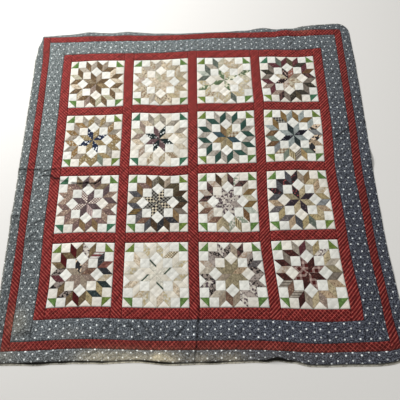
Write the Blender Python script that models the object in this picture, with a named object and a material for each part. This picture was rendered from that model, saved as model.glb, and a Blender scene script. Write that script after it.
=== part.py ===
"""Star quilt blanket: sixteen wheel blocks in red sashing, three borders and a pale backing.

Units are metres. X runs across the quilt, Y runs from its near edge to its far edge, and Z runs
up from the surface on which it lies. The origin is under the middle of the patchwork field, on
the flat underside of the backing.
"""
import math

import bmesh
import bpy

MM = 0.001

# Sewn sizes, edge to edge of each strip
PATCH_SIDE = 44.45 * MM
BLOCK = PATCH_SIDE * (4 + 2 * math.sqrt(2))
SASH = 50.8 * MM
INNER_BORDER = 88.9 * MM
RED_BORDER = 38.1 * MM
OUTER_BORDER = 48.0 * MM
BLOCKS_ACROSS = 4

# Quilting cells across each kind of strip; two cells make one quilted diamond
BLOCK_CELLS = 8
SASH_CELLS = 2
INNER_CELLS = 2
RED_CELLS = 1
OUTER_CELLS = 2

# Thicknesses
BACKING_THICK = 1.0 * MM
LAYER_GAP = 0.3 * MM
SEAM_GAP = 0.3 * MM
QUILTED_THICK = 1.6 * MM
EDGE_THICK = 1.2 * MM
PUFF = 2.0 * MM
SEAM_PUFF_SHARE = 0.4

# The backing shows past the top along the near edge and hides under it along the others
BACKING_SHOWS = 6.0 * MM
BACKING_TUCK = 2.0 * MM

# Where wear and washing have pulled the cloth aside, in millimetres
PULL_COLUMNS = ("x", "y", "reach", "move_x", "move_y")
PULLS = (
    (-500, -760, 230, 0, 13),
    (560, -800, 190, 0, -18),
    (800, -680, 190, 18, 0),
    (900, -900, 130, 40, 0),
    (790, -880, 110, 0, -9),
    (355, -700, 130, 14, -1),
    (700, -680, 110, 6, -5),
    (345, -390, 100, -7, 0),
    (400, 390, 80, 8, 2),
    (0, 700, 130, 0, 7),
    (-890, 860, 120, -17, 5),
    (720, -20, 170, -12, 0),
    (340, -180, 190, -10, 0),
    (-560, 660, 230, -15, 0),
    (-720, -560, 150, 8, 0),
    (-130, -700, 150, 9, 0),
    (-120, 0, 100, 0, -11),
    (500, 10, 140, 0, 7),
    (-530, -350, 120, 0, 6),
    (230, -370, 150, 0, -8),
    (60, 350, 110, 0, 8),
    (-300, 360, 90, 0, 10),
    (370, 350, 110, 0, 7),
    (-540, 690, 110, 0, 5),
    (600, 720, 110, 0, -11),
    (-120, 880, 200, 0, -8),
    (420, 880, 130, 0, -9),
)

# Where the top lifts off its backing or the border ripples, in millimetres
LIFT_COLUMNS = ("x", "y", "reach_x", "reach_y", "height")
LIFTS = (
    (-695, -905, 60, 40, 8),
    (-577, -905, 35, 30, 5),
    (-489, -905, 35, 30, 4),
    (-409, -905, 35, 30, 4),
    (-160, -905, 90, 35, 5),
    (85, -905, 40, 30, 4),
    (356, -895, 55, 60, 14),
    (-610, 890, 70, 40, 7),
    (-390, 885, 50, 40, 6),
    (420, 885, 60, 45, 9),
    (535, 850, 45, 60, 12),
    (700, 890, 60, 45, 8),
    (-905, -240, 40, 45, 5),
    (900, 40, 40, 50, 8),
)

# How wide the outer border shows along each side, in millimetres: place along the side, width
EDGE_COLUMNS = ("at", "width")
EDGE_WIDTHS = {
    "near": ((-909, 46), (-400, 48), (-240, 40), (-80, 50), (150, 45), (300, 40), (356, 26),
             (420, 36), (500, 50), (750, 50), (909, 40)),
    "far": ((-860, 8), (-750, 17), (-600, 27), (-480, 22), (-360, 25), (-200, 16), (-50, 10),
            (170, 6), (300, 15), (400, 27), (540, 10), (660, 27), (840, 42)),
    "left": ((-909, 46), (690, 46), (770, 32), (850, 8)),
    "right": ((-909, 52), (-300, 48), (0, 50), (600, 51), (909, 46)),
}

# How far along both edges each rounded corner reaches, in millimetres
CORNER_REACH = {
    ("left", "near"): 60,
    ("right", "near"): 95,
    ("left", "far"): 60,
    ("right", "far"): 80,
}

# Plain finishes of the solids: base colour and roughness
FINISHES = {
    "star_patchwork": ((0.62, 0.56, 0.46), 0.9),
    "red_print": ((0.30, 0.03, 0.03), 0.9),
    "blue_dot_print": ((0.13, 0.16, 0.18), 0.9),
    "backing_muslin": ((0.60, 0.57, 0.50), 0.9),
}


def strips_across():
    """Every strip met on the way across the quilt: its kind, width and number of cells."""
    border = [
        ("outer", OUTER_BORDER, OUTER_CELLS),
        ("red", RED_BORDER, RED_CELLS),
        ("inner", INNER_BORDER, INNER_CELLS),
    ]
    field = [("sash", SASH, SASH_CELLS)]
    for _ in range(BLOCKS_ACROSS):
        field += [("block", BLOCK, BLOCK_CELLS), ("sash", SASH, SASH_CELLS)]
    return border + field + border[::-1]


def grid_lines(strips):
    """Place of every cell line from edge to edge, and the number of the line each strip starts on."""
    lines = [-sum(width for _, width, _ in strips) / 2]
    starts = [0]
    for _, width, cells in strips:
        start = lines[-1]
        lines += [start + width * (cell + 1) / cells for cell in range(cells)]
        starts.append(len(lines) - 1)
    return lines, starts


STRIPS = strips_across()
LINES, STARTS = grid_lines(STRIPS)
HALF = LINES[-1]
RED_EDGE = HALF - OUTER_BORDER
LAST_STRIP = len(STRIPS) - 1


def rows(table, columns):
    """The rows of a table as dictionaries, with their millimetres turned to metres."""
    return [{name: value * MM for name, value in zip(columns, row)} for row in table]


PULL_ROWS = rows(PULLS, PULL_COLUMNS)
LIFT_ROWS = rows(LIFTS, LIFT_COLUMNS)
EDGE_ROWS = {side: rows(table, EDGE_COLUMNS) for side, table in EDGE_WIDTHS.items()}


def bell(distance, reach):
    """A soft bump: 1 in its middle, falling to nothing past its reach."""
    return math.exp(-((distance / reach) ** 2))


def shown_width(side, at):
    """Width of the outer border at a place along one side, eased between the table's rows."""
    stations = EDGE_ROWS[side]
    if at <= stations[0]["at"]:
        return stations[0]["width"]
    for before, after in zip(stations, stations[1:]):
        if at <= after["at"]:
            share = (at - before["at"]) / (after["at"] - before["at"])
            ease = share * share * (3 - 2 * share)
            return before["width"] + (after["width"] - before["width"]) * ease
    return stations[-1]["width"]


def side_of(x, y):
    """Names of the left or right half and the near or far half that a point is in."""
    return ("left" if x < 0 else "right"), ("near" if y < 0 else "far")


def round_corner(x, y):
    """Draw in the points of a corner so that the outline turns it in an arc."""
    reach = CORNER_REACH[side_of(x, y)] * MM
    into_x = (abs(x) - (HALF - reach)) / reach
    into_y = (abs(y) - (HALF - reach)) / reach
    if into_x <= 0 or into_y <= 0:
        return x, y
    outward = max(into_x, into_y)
    shrink = 1 - (1 - outward / math.hypot(into_x, into_y)) * outward
    return (
        math.copysign(HALF - reach + into_x * reach * shrink, x),
        math.copysign(HALF - reach + into_y * reach * shrink, y),
    )


def narrow_edge(value, side, at):
    """Move a point of the outer border to the width that the border shows there."""
    seam = RED_EDGE + SEAM_GAP / 2
    if abs(value) <= seam:
        return value
    share = shown_width(side, at) / OUTER_BORDER
    return math.copysign(seam + (abs(value) - seam) * share, value)


def lie(x, y):
    """Where a point of the ideal square pattern lies on the worn quilt."""
    x, y = round_corner(x, y)
    x_side, y_side = side_of(x, y)
    x, y = narrow_edge(x, x_side, y), narrow_edge(y, y_side, x)
    move_x = move_y = 0.0
    for pull in PULL_ROWS:
        share = bell(math.hypot(x - pull["x"], y - pull["y"]), pull["reach"])
        move_x += pull["move_x"] * share
        move_y += pull["move_y"] * share
    return x + move_x, y + move_y


def lift(x, y):
    """Height by which the top stands off its backing at a point."""
    return sum(
        row["height"] * bell(x - row["x"], row["reach_x"]) * bell(y - row["y"], row["reach_y"])
        for row in LIFT_ROWS
    )


def is_puff(i, j):
    """The crossings of the cell lines are by turns quilted down and puffed up."""
    return (i + j) % 2 == 1


def thickness(i, j, on_seam):
    """Thickness of the top where cell lines i and j cross."""
    if i in (0, len(LINES) - 1) or j in (0, len(LINES) - 1):
        return EDGE_THICK
    if not is_puff(i, j):
        return QUILTED_THICK
    x, y = LINES[i], LINES[j]
    x_side, y_side = side_of(x, y)
    share = SEAM_PUFF_SHARE if on_seam else 1.0
    if abs(x) > RED_EDGE:
        share *= shown_width(x_side, y) / OUTER_BORDER
    if abs(y) > RED_EDGE:
        share *= shown_width(y_side, x) / OUTER_BORDER
    return QUILTED_THICK + PUFF * share


def inset(value, number, first, last):
    """Step a panel's first and last line back from the seam that it shares with its neighbour."""
    if number == first and first > 0:
        return value + SEAM_GAP / 2
    if number == last and last < len(LINES) - 1:
        return value - SEAM_GAP / 2
    return value


def finish(name):
    """A plain cloth finish, made once and shared."""
    if name in bpy.data.materials:
        return bpy.data.materials[name]
    colour, roughness = FINISHES[name]
    material = bpy.data.materials.new(name)
    material.use_nodes = True
    shader = material.node_tree.nodes["Principled BSDF"]
    shader.inputs["Base Color"].default_value = (*colour, 1.0)
    shader.inputs["Roughness"].default_value = roughness
    shader.inputs["Metallic"].default_value = 0.0
    return material


def add_object(name, data, finish_name, collection):
    """Put a mesh or curve in the collection under its own name, with its finish."""
    data.materials.append(finish(finish_name))
    piece = bpy.data.objects.new(name, data)
    collection.objects.link(piece)
    return piece


def add_panel(name, columns, lines_of_rows, finish_name, collection):
    """One cut panel of the top: a grid of cells, split along the quilting, with real thickness."""
    first_i, last_i = STARTS[columns[0]], STARTS[columns[1] + 1]
    first_j, last_j = STARTS[lines_of_rows[0]], STARTS[lines_of_rows[1] + 1]
    across, along = last_i - first_i, last_j - first_j
    panel = bmesh.new()
    bmesh.ops.create_grid(panel, x_segments=across, y_segments=along, size=1.0)

    def crossing(vertex):
        i = first_i + round((vertex.co.x + 1) / 2 * across)
        j = first_j + round((vertex.co.y + 1) / 2 * along)
        return i, j

    for cell in panel.faces[:]:
        quilted_down = [vertex for vertex in cell.verts if not is_puff(*crossing(vertex))]
        bmesh.utils.face_split(cell, quilted_down[0], quilted_down[1])
    under = {vertex: crossing(vertex) for vertex in panel.verts}
    raised = bmesh.ops.extrude_face_region(panel, geom=panel.faces[:])["geom"]
    over = {item: crossing(item) for item in raised if isinstance(item, bmesh.types.BMVert)}
    for layer in (under, over):
        for vertex, (i, j) in layer.items():
            x, y = lie(inset(LINES[i], i, first_i, last_i), inset(LINES[j], j, first_j, last_j))
            z = BACKING_THICK + LAYER_GAP + lift(x, y)
            if layer is over:
                z += thickness(i, j, i in (first_i, last_i) or j in (first_j, last_j))
            vertex.co = (x, y, z)
    bmesh.ops.recalc_face_normals(panel, faces=panel.faces[:])
    mesh = bpy.data.meshes.new(name)
    panel.to_mesh(mesh)
    panel.free()
    return add_object(name, mesh, finish_name, collection)


def backing_outline():
    """The backing's cut edge: the top's own outline, let out along the near edge."""
    last = len(LINES) - 1
    loop = [(LINES[i], -HALF) for i in range(last)]
    loop += [(HALF, LINES[j]) for j in range(last)]
    loop += [(LINES[last - i], HALF) for i in range(last)]
    loop += [(-HALF, LINES[last - j]) for j in range(last)]
    outline = []
    for x, y in loop:
        across, along = lie(x, y)
        if abs(x) == HALF:
            across -= math.copysign(BACKING_TUCK, x)
        if y == -HALF:
            along -= BACKING_SHOWS
        elif y == HALF:
            along -= BACKING_TUCK
        outline.append((across, along))
    return outline


def add_backing(collection):
    """The pale cloth under the top: a flat outline with a thickness."""
    curve = bpy.data.curves.new("backing", "CURVE")
    curve.dimensions = "2D"
    curve.fill_mode = "BOTH"
    curve.extrude = BACKING_THICK / 2
    outline = backing_outline()
    edge = curve.splines.new("POLY")
    edge.points.add(len(outline) - 1)
    for point, (x, y) in zip(edge.points, outline):
        point.co = (x, y, 0.0, 1.0)
    edge.use_cyclic_u = True
    backing = add_object("backing", curve, "backing_muslin", collection)
    backing.location.z = BACKING_THICK / 2


def add_field(collection):
    """The blocks, the short level sashes of each column and the long upright sashes."""
    kinds = [kind for kind, _, _ in STRIPS]
    block_strips = [number for number, kind in enumerate(kinds) if kind == "block"]
    sash_strips = [number for number, kind in enumerate(kinds) if kind == "sash"]
    for column, strip in enumerate(block_strips, start=1):
        for row, level in enumerate(reversed(block_strips), start=1):
            name = f"star_block_r{row}c{column}"
            add_panel(name, (strip, strip), (level, level), "star_patchwork", collection)
        for row, level in enumerate(reversed(sash_strips), start=1):
            name = f"short_sash_r{row}c{column}"
            add_panel(name, (strip, strip), (level, level), "red_print", collection)
    for number, strip in enumerate(sash_strips, start=1):
        full_height = (sash_strips[0], sash_strips[-1])
        add_panel(f"long_sash_{number}", (strip, strip), full_height, "red_print", collection)


def add_borders(collection):
    """Three borders: the side strips run the full height, the near and far ones fit between."""
    border_finish = {"outer": "blue_dot_print", "red": "red_print", "inner": "blue_dot_print"}
    for ring, kind in enumerate(("outer", "red", "inner")):
        low, high = ring, LAST_STRIP - ring
        cloth = border_finish[kind]
        add_panel(f"{kind}_border_left", (low, low), (low, high), cloth, collection)
        add_panel(f"{kind}_border_right", (high, high), (low, high), cloth, collection)
        add_panel(f"{kind}_border_near", (low + 1, high - 1), (low, low), cloth, collection)
        add_panel(f"{kind}_border_far", (low + 1, high - 1), (high, high), cloth, collection)


def main():
    for old in list(bpy.data.objects):
        bpy.data.objects.remove(old)
    collection = bpy.data.collections.new("star_quilt_blanket")
    bpy.context.scene.collection.children.link(collection)
    add_backing(collection)
    add_borders(collection)
    add_field(collection)


main()
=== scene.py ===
# %% [markdown]
# # A star quilt, laid out flat
#
# This lesson dresses a hand-made patchwork quilt in Blender. The real thing is a sandwich: a pieced
# top of cotton scraps, a thin batting, and a plain muslin backing, all held together by lines of
# small running stitches. A imported frame already holds one simple solid for each panel of the top.
# Here every panel gets its sewn surface: the patches with their seams, the quilted puffs, the
# creases of long folding, and the prints of the cloth.
#
# We start by loading that frame, with each solid's placing moved into its mesh.

# %% Load the frame
import math

import bpy
import numpy as np
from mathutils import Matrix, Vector


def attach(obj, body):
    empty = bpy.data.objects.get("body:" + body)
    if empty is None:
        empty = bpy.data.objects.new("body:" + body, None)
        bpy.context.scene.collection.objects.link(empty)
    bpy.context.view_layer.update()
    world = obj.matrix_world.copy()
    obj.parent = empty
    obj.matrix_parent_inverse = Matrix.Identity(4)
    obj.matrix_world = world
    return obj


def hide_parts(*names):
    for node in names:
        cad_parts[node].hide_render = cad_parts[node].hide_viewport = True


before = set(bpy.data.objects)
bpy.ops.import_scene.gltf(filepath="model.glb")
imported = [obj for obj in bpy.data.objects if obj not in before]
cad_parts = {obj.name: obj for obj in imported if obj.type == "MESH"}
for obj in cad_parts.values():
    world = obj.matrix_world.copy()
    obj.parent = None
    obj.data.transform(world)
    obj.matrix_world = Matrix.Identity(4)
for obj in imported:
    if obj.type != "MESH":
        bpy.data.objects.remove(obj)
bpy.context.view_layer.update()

MM = 0.001

# %% [markdown]
# The camera comes first, because it tells us how fine the work must be. The quilt was photographed
# from high above its near edge, looking steeply down. A 400 pixel square frame covers about two
# metres, so one pixel is close to 5 mm of cloth: seams and quilting lines just show, threads do not.

# %% Camera
CAMERA_PLACE = (0.0784, -0.7443, 1.7279)
CAMERA_TURN_DEGREES = (18.361, 1.624, -0.663)
LENS_MM = 32.905
SENSOR_MM = 36.0
PICTURE_PIXELS = 400
HALF_PIXEL = 0.5 / PICTURE_PIXELS

camera_data = bpy.data.cameras.new("camera")
camera_data.lens = LENS_MM
camera_data.sensor_width = SENSOR_MM
camera_data.shift_x = -HALF_PIXEL
camera_data.shift_y = HALF_PIXEL
camera = bpy.data.objects.new("camera", camera_data)
camera.location = CAMERA_PLACE
camera.rotation_euler = [math.radians(turn) for turn in CAMERA_TURN_DEGREES]
bpy.context.scene.collection.objects.link(camera)
bpy.context.scene.camera = camera
print("camera height above the floor, mm:", round(camera.location.z / MM))

# %% [markdown]
# A quilt is planned on squared paper. Everything follows from the side of one patch: a wheel block
# is four patches and two patch diagonals wide. Sashing and inner borders are cut to the half inch.
# Crossing the quilt we meet fifteen strips, and each is divided into quilting cells. Two cells make
# one quilted diamond. Building all the panels on one plan keeps their quilting lines joined up.

# %% The plan of the quilt
PATCH_SIDE = 44.45 * MM
BLOCK = PATCH_SIDE * (4 + 2 * math.sqrt(2))
STRIP_WIDTHS = {
    "outer": 48.0 * MM,
    "red": 38.1 * MM,
    "inner": 88.9 * MM,
    "sash": 50.8 * MM,
    "block": BLOCK,
}
STRIP_CELLS = {"outer": 2, "red": 1, "inner": 2, "sash": 2, "block": 8}
BLOCKS_ACROSS = 4
FIELD = ["sash"] + ["block", "sash"] * BLOCKS_ACROSS
STRIPS = ["outer", "red", "inner"] + FIELD + ["inner", "red", "outer"]
LAST_STRIP = len(STRIPS) - 1
FIRST_SASH = STRIPS.index("sash")
LAST_SASH = LAST_STRIP - FIRST_SASH


def cell_lines():
    """Place of every cell line from edge to edge, and the line number that each strip starts on."""
    lines = [-sum(STRIP_WIDTHS[kind] for kind in STRIPS) / 2]
    starts = [0]
    for kind in STRIPS:
        step = STRIP_WIDTHS[kind] / STRIP_CELLS[kind]
        for _ in range(STRIP_CELLS[kind]):
            lines.append(lines[-1] + step)
        starts.append(len(lines) - 1)
    return np.array(lines), starts


def sash_strip(number):
    """Which strip a sash is, counted from 1 at the left or near side."""
    return FIRST_SASH + 2 * (number - 1)


def block_strip(number):
    """Which strip a column or row of blocks is, counted the same way."""
    return sash_strip(number) + 1


LINES, STARTS = cell_lines()
HALF = LINES[-1]
RED_EDGE = HALF - STRIP_WIDTHS["outer"]
SEAM_GAP = 0.3 * MM
print("quilt is", round(2 * HALF / MM), "mm across with", len(LINES) - 1, "quilting cells")

# %% [markdown]
# No old quilt lies square. Washing and handling have pulled it aside in places, its corners are
# worn round, and the outer border rolls under by different amounts. Each of these is a small table
# read from the real quilt, in millimetres: soft bell-shaped pulls, places where the top lifts
# off its backing, and the width that the outer border shows along each side.

# %% How the cloth lies
PULLS = np.array([  # x, y, reach, move in x, move in y
    (-500, -760, 230, 0, 13), (560, -800, 190, 0, -18), (800, -680, 190, 18, 0),
    (900, -900, 130, 40, 0), (790, -880, 110, 0, -9), (355, -700, 130, 14, -1),
    (700, -680, 110, 6, -5), (345, -390, 100, -7, 0), (400, 390, 80, 8, 2), (0, 700, 130, 0, 7),
    (-890, 860, 120, -17, 5), (720, -20, 170, -12, 0), (340, -180, 190, -10, 0),
    (-560, 660, 230, -15, 0), (-720, -560, 150, 8, 0), (-130, -700, 150, 9, 0),
    (-120, 0, 100, 0, -11), (500, 10, 140, 0, 7), (-530, -350, 120, 0, 6), (230, -370, 150, 0, -8),
    (60, 350, 110, 0, 8), (-300, 360, 90, 0, 10), (370, 350, 110, 0, 7), (-540, 690, 110, 0, 5),
    (600, 720, 110, 0, -11), (-120, 880, 200, 0, -8), (420, 880, 130, 0, -9),
]) * MM
LIFTS = np.array([  # x, y, reach in x, reach in y, height
    (-695, -905, 60, 40, 8), (-577, -905, 35, 30, 5), (-489, -905, 35, 30, 4),
    (-409, -905, 35, 30, 4), (-160, -905, 90, 35, 5), (85, -905, 40, 30, 4),
    (356, -895, 55, 60, 14), (-610, 890, 70, 40, 7), (-390, 885, 50, 40, 6), (420, 885, 60, 45, 9),
    (535, 850, 45, 60, 12), (700, 890, 60, 45, 8), (-905, -240, 40, 45, 5), (900, 40, 40, 50, 8),
]) * MM
EDGE_WIDTHS = {  # place along the side, width of the outer border there
    "near": ((-909, 46), (-400, 48), (-240, 40), (-80, 50), (150, 45), (300, 40), (356, 26),
             (420, 36), (500, 50), (750, 50), (909, 40)),
    "far": ((-860, 8), (-750, 17), (-600, 27), (-480, 22), (-360, 25), (-200, 16), (-50, 10),
            (170, 6), (300, 15), (400, 27), (540, 10), (660, 27), (840, 42)),
    "left": ((-909, 46), (690, 46), (770, 32), (850, 8)),
    "right": ((-909, 52), (-300, 48), (0, 50), (600, 51), (909, 46)),
}
CORNER_REACH = {"left near": 60, "right near": 95, "left far": 60, "right far": 80}
NEXT_TO_NOTHING = 1e-9


def bell(distance, reach):
    """A soft bump: 1 in its middle, falling to nothing past its reach."""
    return np.exp(-((distance / reach) ** 2))


def shown_width(side, at):
    """Width of the outer border at places along one side, eased between the table's rows."""
    places, widths = np.array(EDGE_WIDTHS[side]).T * MM
    after = np.clip(np.searchsorted(places, at), 1, len(places) - 1)
    share = np.clip((at - places[after - 1]) / (places[after] - places[after - 1]), 0, 1)
    ease = share * share * (3 - 2 * share)
    return widths[after - 1] + (widths[after] - widths[after - 1]) * ease


def edge_share(x, y):
    """How much of its cut width the outer border shows beside a point: across x, and across y."""
    left_or_right = np.where(x < 0, shown_width("left", y), shown_width("right", y))
    near_or_far = np.where(y < 0, shown_width("near", x), shown_width("far", x))
    return left_or_right / STRIP_WIDTHS["outer"], near_or_far / STRIP_WIDTHS["outer"]


def round_corner(x, y):
    """Draw in the points of the corners so that the outline turns each of them in an arc."""
    left = np.where(y < 0, CORNER_REACH["left near"], CORNER_REACH["left far"])
    right = np.where(y < 0, CORNER_REACH["right near"], CORNER_REACH["right far"])
    reach = np.where(x < 0, left, right) * MM
    into_x = np.maximum((np.abs(x) - (HALF - reach)) / reach, NEXT_TO_NOTHING)
    into_y = np.maximum((np.abs(y) - (HALF - reach)) / reach, NEXT_TO_NOTHING)
    outward = np.maximum(into_x, into_y)
    shrink = 1 - (1 - outward / np.hypot(into_x, into_y)) * outward
    inside = np.minimum(into_x, into_y) <= NEXT_TO_NOTHING
    round_x = np.sign(x) * (HALF - reach + into_x * reach * shrink)
    round_y = np.sign(y) * (HALF - reach + into_y * reach * shrink)
    return np.where(inside, x, round_x), np.where(inside, y, round_y)


def narrow_edge(value, share):
    """Move points of the outer border in to the width that the border shows there."""
    seam = RED_EDGE + SEAM_GAP / 2
    moved = np.sign(value) * (seam + (np.abs(value) - seam) * share)
    return np.where(np.abs(value) <= seam, value, moved)


def lie(x, y):
    """Where points of the square plan lie on the worn quilt."""
    x, y = round_corner(x, y)
    share_x, share_y = edge_share(x, y)
    x, y = narrow_edge(x, share_x), narrow_edge(y, share_y)
    moved_x, moved_y = x.copy(), y.copy()
    for at_x, at_y, reach, move_x, move_y in PULLS:
        share = bell(np.hypot(x - at_x, y - at_y), reach)
        moved_x += move_x * share
        moved_y += move_y * share
    return moved_x, moved_y


def bumps(table, x, y):
    """The sum of a table's soft bumps at points, where a row is x, y, two reaches and a height."""
    return sum(most * bell(x - at_x, reach_x) * bell(y - at_y, reach_y)
               for at_x, at_y, reach_x, reach_y, most in table)


def lift(x, y):
    """Height by which the top stands off its backing at points."""
    return bumps(LIFTS, x, y)


corner_x, corner_y = lie(np.array([HALF]), np.array([-HALF]))
print("near right corner lies at", round(corner_x[0] / MM), round(corner_y[0] / MM), "mm")

# %% [markdown]
# Quilting is what makes the surface. Diagonal lines of stitches pull the top down to the backing,
# and the batting puffs up between them. The cell lines give us two families of lanes, one rising to
# the right and one falling. A pillow profile is 0 on a line of stitches and 1 in mid lane, and the
# product of both families is a field of quilted diamonds. Most panels have half-size puffs on top of
# the wide ones. In the blocks and the red border the stitches run at half the lanes' spacing too.

# %% The quilted relief
TOP_UNDERSIDE = 1.3 * MM
SEWN_THICK = 1.6 * MM
EDGE_THICK = 0.9 * MM
EDGE_ROLL = 3.0 * MM
SEAM_DITCH = 0.45 * MM
PILLOW_POWER = 0.6
PUFFS = {  # height of the wide puffs and of the half-size puffs
    "outer": (1.9 * MM, 0.0),
    "red": (1.6 * MM, 0.4 * MM),
    "inner": (2.1 * MM, 0.3 * MM),
    "sash": (1.1 * MM, 0.8 * MM),
    "block": (1.0 * MM, 1.0 * MM),
}
LINES_TO_A_LANE = {"block": 2.0, "red": 2.0}  # lines of stitches drawn, where not one to a lane


def lanes(x, y):
    """Which lane of the rising and of the falling quilting lines a point of the plan is in."""
    across = np.interp(x, LINES, np.arange(len(LINES)))
    along = np.interp(y, LINES, np.arange(len(LINES)))
    return (across + along) / 2, (across - along) / 2


def pillow(lane):
    """Profile across a lane: 0 on the stitches, 1 halfway between them."""
    return np.abs(np.sin(math.pi * lane)) ** PILLOW_POWER


def loft(kind, x, y):
    """Height of the puffed batting over the stitched-down cloth."""
    rising, falling = lanes(x, y)
    wide, half_size = PUFFS[kind]
    puffs = wide * pillow(rising) * pillow(falling)
    return puffs + half_size * pillow(2 * rising) * pillow(2 * falling)


probe = np.linspace(-0.1, 0.1, 400)
print("tallest puff of a block, mm:", round(loft("block", probe, probe * 0.3).max() / MM, 2))

# %% [markdown]
# Cotton that has been washed for decades crinkles. A few dozen small waves in mixed directions,
# drawn with one seed, give the same crinkle at each run. Folding leaves larger marks: the
# quilt was stored folded in half, and a few short tucks catch the light. Each one is a line with its
# own width and height, a ridge with a sharp groove along its middle, set where the real one lies.
# A painted shade darkens the cloth along each groove, by an amount given for each one.

# %% Crinkles, ripples and folds
CRINKLE_WAVES = 26
CRINKLE_LENGTHS = (13.0 * MM, 42.0 * MM)
CRINKLE_HEIGHT = 0.085 * MM
RIPPLE_WAVES = 9
RIPPLE_LENGTHS = (110.0 * MM, 330.0 * MM)
RIPPLE_HEIGHT = 0.30 * MM
SEED = 1885
# reach of the painted shade to each side of a crease's groove
PAINTED_GROOVE_WIDTH = 5.5 * MM
HUNDREDTH = 0.01 / MM  # the tables are scaled by MM; this turns their hundredths into shares of one
FOLDS = np.array([  # from x, y to x, y, half width, height, painted shade of the groove in hundredths
    (-908, 16, -874, 15, 8, 2.6, 80), (-869, 14, -825, 10, 8, 2.4, 45),
    (-822, 14, -790, 12, 7, 2.6, 85), (-768, 5, -716, 15, 7, 2.6, 85),
    (-705, 14, -560, 20, 8, 0.8, 15), (-793, -28, -771, -19, 5, 1.4, 55),
    (-771, -19, -731, -22, 5, 1.8, 80), (-731, -22, -711, -37, 5, 1.8, 75),
    (-711, -37, -686, -40, 6, 2.0, 90), (-680, -50, -645, -54, 6, 1.8, 60),
    (-617, -65, -574, -70, 6, 3.6, 95), (-574, -70, -542, -66, 6, 4.2, 100),
    (-542, -66, -499, -71, 6, 4.2, 100), (-499, -71, -477, -56, 6, 3.4, 95),
    (-477, -56, -465, -35, 5, 2.4, 80), (-594, -36, -577, -50, 5, 1.4, 45),
    (-916, -235, -869, -236, 6, 2.2, 60), (-888, -60, -875, -33, 5, 1.2, 30),
    (-819, -291, -739, -253, 6, 1.8, 60), (-820, -355, -771, -324, 6, 1.8, 60),
    (-797, -365, -735, -356, 5, 1.4, 50), (-804, -399, -769, -384, 5, 1.2, 40),
    (741, 157, 818, 217, 6, 2.2, 75), (799, 478, 822, 494, 5, 1.4, 55),
    (869, 411, 912, 410, 5, 1.2, 50), (902, 250, 922, 247, 5, 1.6, 45),
    (23, -678, 20, -735, 8, 1.4, 60), (20, -735, 15, -804, 8, 2.2, 70),
    (15, -804, 11, -846, 7, 1.6, 50), (11, -846, 0, -915, 8, 2.2, 60),
    (18, -660, 20, -420, 7, 0.7, 14), (20, 420, 12, 800, 7, 0.7, 10),
    (590, -766, 588, -832, 6, 1.6, 40), (625, -832, 621, -885, 6, 1.8, 40),
    (-799, -792, -769, -766, 5, 1.4, 55), (-742, -779, -730, -756, 5, 1.4, 55),
    (-780, -788, -750, -776, 5, 1.2, 45), (-420, -789, -377, -737, 5, 0.4, 62),
    (-360, -789, -326, -747, 5, 0.4, 52), (-297, -741, -245, -802, 5, 0.4, 60),
    (-240, -741, -194, -793, 5, 0.4, 60), (-184, -757, -158, -782, 5, 0.4, 50),
    (-129, -810, -96, -779, 5, 0.4, 60), (-82, -808, -33, -754, 5, 0.4, 48),
    (-560, 800, -500, 905, 8, 2.0, 20), (330, 815, 380, 905, 8, 1.8, 20),
    (600, 820, 640, 905, 8, 2.0, 22),
]) * MM


def waves(x, y, count, lengths, height, seed):
    """A sum of small waves of mixed lengths and directions, the same at each run."""
    draw = np.random.default_rng(seed)
    total = np.zeros_like(x)
    for _ in range(count):
        length = draw.uniform(*lengths)
        turn = draw.uniform(0, math.pi)
        phase = draw.uniform(0, 2 * math.pi)
        travel = x * math.cos(turn) + y * math.sin(turn)
        total += height * np.sin(2 * math.pi * travel / length + phase)
    return total


def folds(x, y):
    """Ridge height, groove depth and painted groove shade of the folds at points of the lain quilt."""
    ridge, groove, dark = np.zeros_like(x), np.zeros_like(x), np.zeros_like(x)
    for x0, y0, x1, y1, half_width, height, darkness in FOLDS:
        length = math.hypot(x1 - x0, y1 - y0)
        along = ((x - x0) * (x1 - x0) + (y - y0) * (y1 - y0)) / length
        off = np.abs((y - y0) * (x1 - x0) - (x - x0) * (y1 - y0)) / length
        past = np.maximum(np.maximum(-along, along - length), 0)
        reach = bell(past, half_width)
        ridge += height * bell(off - half_width, half_width) * reach
        groove += height * bell(off, half_width / 2) * reach
        # painted shade along the groove, stored with the cloth
        dark += darkness * HUNDREDTH * bell(off, PAINTED_GROOVE_WIDTH) * reach
    return ridge, groove, np.clip(dark, 0, 1)


print("folds:", len(FOLDS), "crinkle waves:", CRINKLE_WAVES)

# %% [markdown]
# Age shows in the colour too. Yellowed water marks lie in the near border, and the cloth is a little
# more faded away from the lower right. These soft areas are kept as numbers on the mesh, and every
# cloth reads them. That way a mark runs on across seams from one panel to the next.

# %% Marks of age
STAINS = np.array([  # x, y, reach in x, reach in y, strength in hundredths
    (-800, -735, 45, 60, 14), (-850, -880, 60, 30, 9), (-450, -890, 70, 34, 22),
    (-330, -895, 90, 34, 28), (-230, -900, 60, 30, 23), (-160, -890, 26, 18, 52),
    (-110, -895, 50, 24, 40), (28, -900, 45, 26, 20), (158, -902, 60, 26, 20),
    (-560, -790, 60, 30, 4), (640, 860, 60, 25, 6), (-100, -892, 680, 42, 7),
]) * MM
WORN_RIM = 7.0 * MM
RIM_STRENGTH = 0.16
FADE_TOWARDS = (-0.55, 0.45)


def stain(x, y):
    """Strength of the water marks at points."""
    return np.clip(bumps(STAINS, x, y) * HUNDREDTH, 0, 1)


def fade(x, y):
    """How faded the cloth is: 0 at the lower right, 1 at the upper left."""
    return np.clip(0.5 + (x * FADE_TOWARDS[0] + y * FADE_TOWARDS[1]) / (2 * HALF), 0, 1)


print("water marks:", len(STAINS))

# %% [markdown]
# Materials come next. All of this quilt is plain-woven printed cotton. Such cloth is matt, with a
# faint bloom of loose fibre at grazing light, so roughness is high and a little sheen is added. The
# IOR of cellulose is about 1.46. Colours are written as sRGB hex, the way a dyer's chart gives them,
# and one function turns them to the linear values that the shader wants.

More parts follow.
